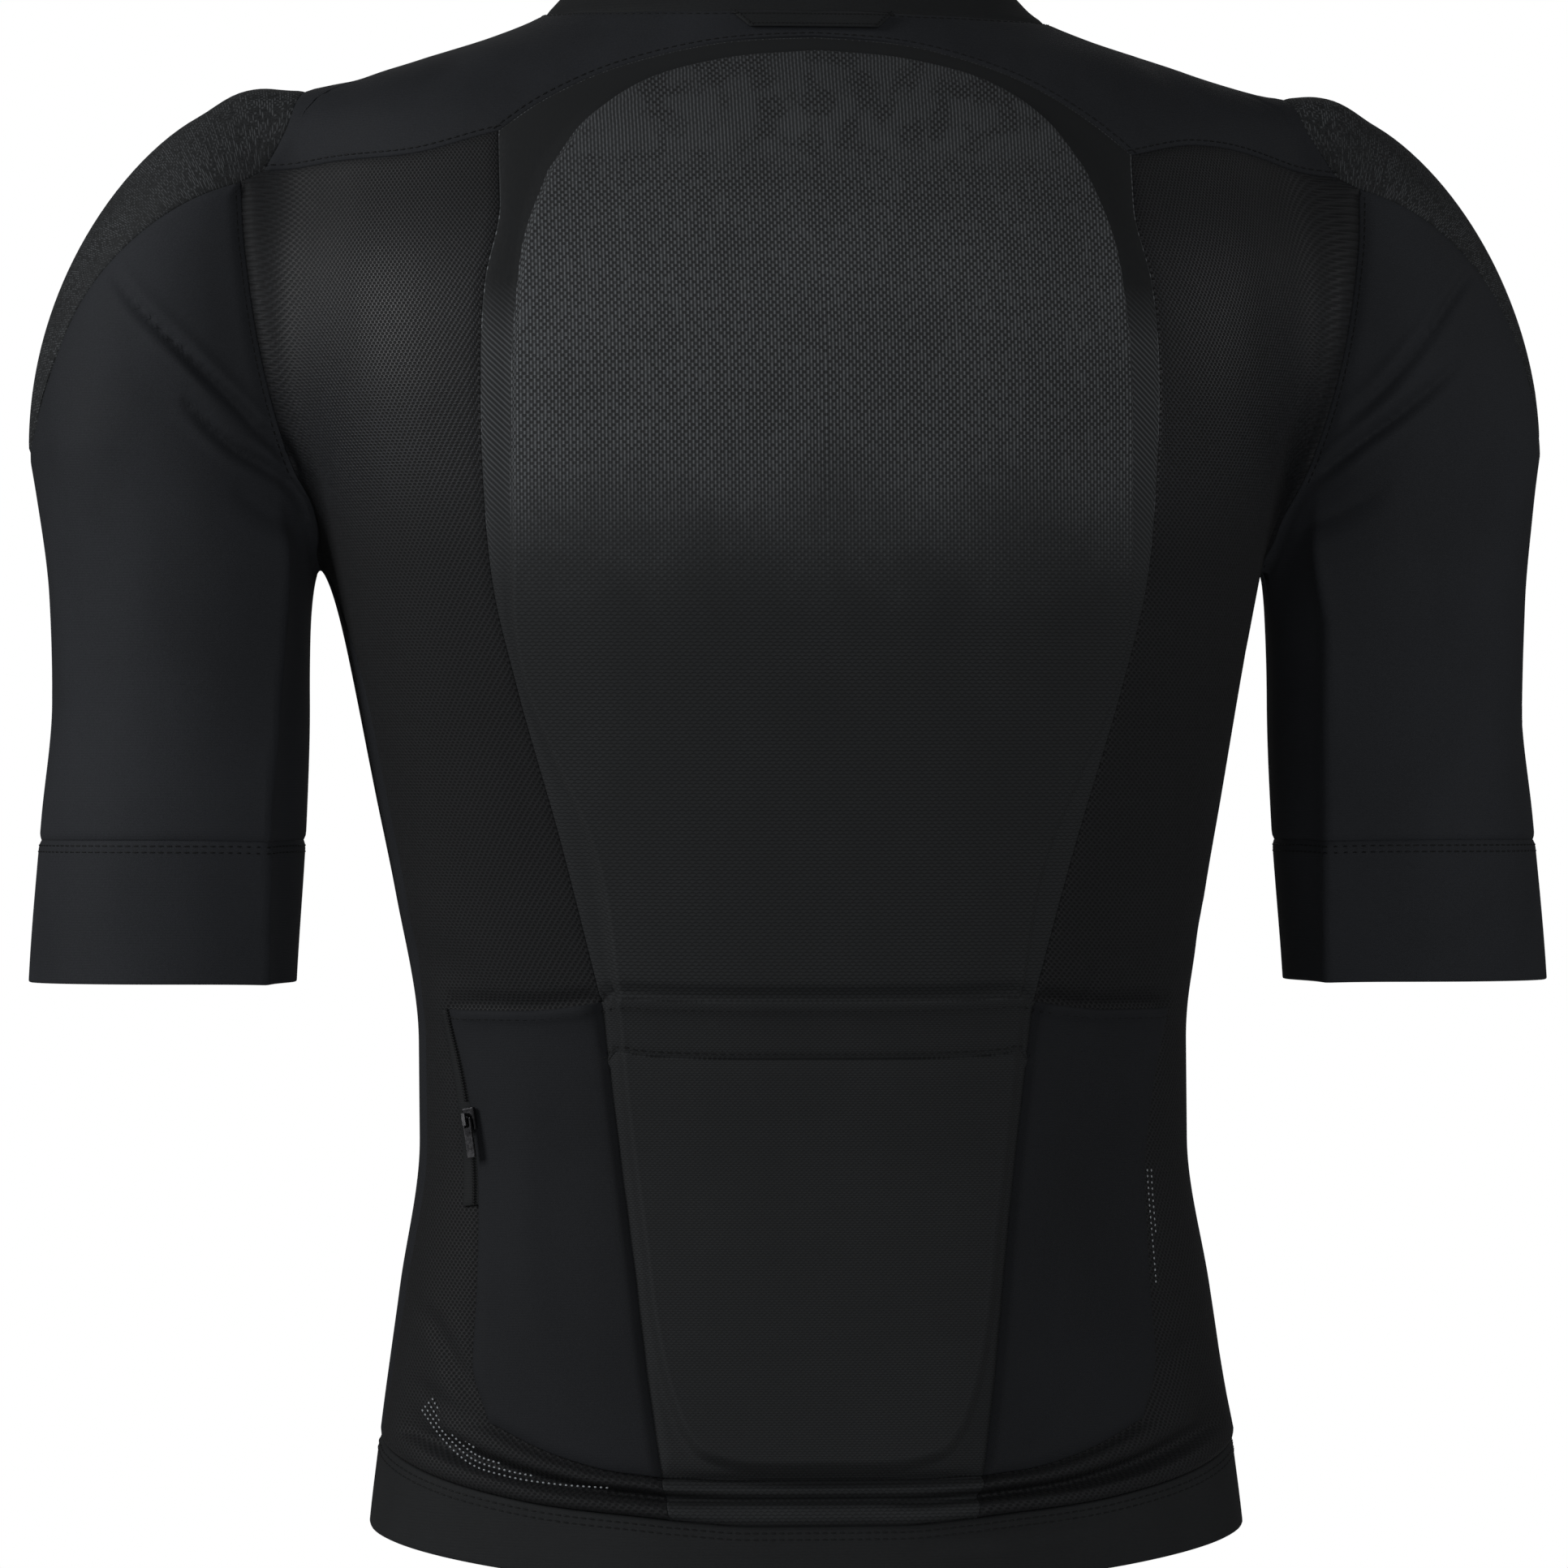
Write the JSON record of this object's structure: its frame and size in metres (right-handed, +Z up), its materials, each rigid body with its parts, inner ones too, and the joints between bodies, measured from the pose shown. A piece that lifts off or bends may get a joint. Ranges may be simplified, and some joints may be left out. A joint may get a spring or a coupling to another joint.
{
  "type": "protective t-shirt",
  "caption": "Close-fitting protective riding t-shirt in its worn form, with a soft back protector, padded shoulders, short sleeves and lower back pockets.",
  "frame": {"origin": "the middle of the neck hole, level with the collar seam, where the wearer's neck and shoulders hold the shirt up", "axes": "+X to the wearer's right, +Y the way the wearer faces, +Z up; the back of the shirt looks along -Y"},
  "size_m": [0.5857, 0.2365, 0.6123],
  "materials": {
    "back_center": "knitted spacer mesh, matt",
    "back_side_left": "fine mesh with a sheen",
    "back_side_right": "fine mesh with a sheen",
    "yoke": "smooth jersey, slight sheen",
    "front": "smooth jersey, slight sheen",
    "collar": "smooth folded band",
    "hem_band": "smooth elastic band",
    "sleeve_left": "smooth jersey, slight sheen",
    "sleeve_right": "smooth jersey, slight sheen",
    "shoulder_mesh_left": "heather mesh, matt",
    "shoulder_mesh_right": "heather mesh, matt",
    "cuff_left": "smooth band",
    "cuff_right": "smooth band",
    "pocket_left": "smooth jersey, slight sheen",
    "pocket_right": "smooth jersey, slight sheen",
    "pocket_center": "open mesh over the protector, matt",
    "pocket_center_band": "smooth jersey band",
    "back_protector": "soft viscoelastic foam, charcoal",
    "shoulder_pad_left": "soft viscoelastic foam, charcoal",
    "shoulder_pad_right": "soft viscoelastic foam, charcoal",
    "neck_tab": "smooth woven tab",
    "zip_tape": "woven tape",
    "zip_slider": "gunmetal plated, satin",
    "zip_pull": "gunmetal plated, satin"
  },
  "bodies": {
    "shirt": {"back_center": "back_center", "back_side_left": "back_side_left", "back_side_right": "back_side_right", "yoke": "yoke", "front": "front", "collar": "collar", "hem_band": "hem_band", "sleeve_left": "sleeve_left", "sleeve_right": "sleeve_right", "shoulder_mesh_left": "shoulder_mesh_left", "shoulder_mesh_right": "shoulder_mesh_right", "cuff_left": "cuff_left", "cuff_right": "cuff_right", "pocket_left": "pocket_left", "pocket_right": "pocket_right", "pocket_center": "pocket_center", "pocket_center_band": "pocket_center_band", "back_protector": "back_protector", "shoulder_pad_left": "shoulder_pad_left", "shoulder_pad_right": "shoulder_pad_right", "neck_tab": "neck_tab", "zip_tape": "zip_tape", "zip_slider": "zip_slider"},
    "pull": {"zip_pull": "zip_pull"}
  },
  "joints": [
    {"name": "pull_hinge", "type": "hinge", "parent": "shirt", "child": "pull", "pos_m": [-0.12987, -0.06079, -0.41686], "axis": [-0.7271, 0.6652, -0.1697], "range_deg": [0, 160]}
  ]
}
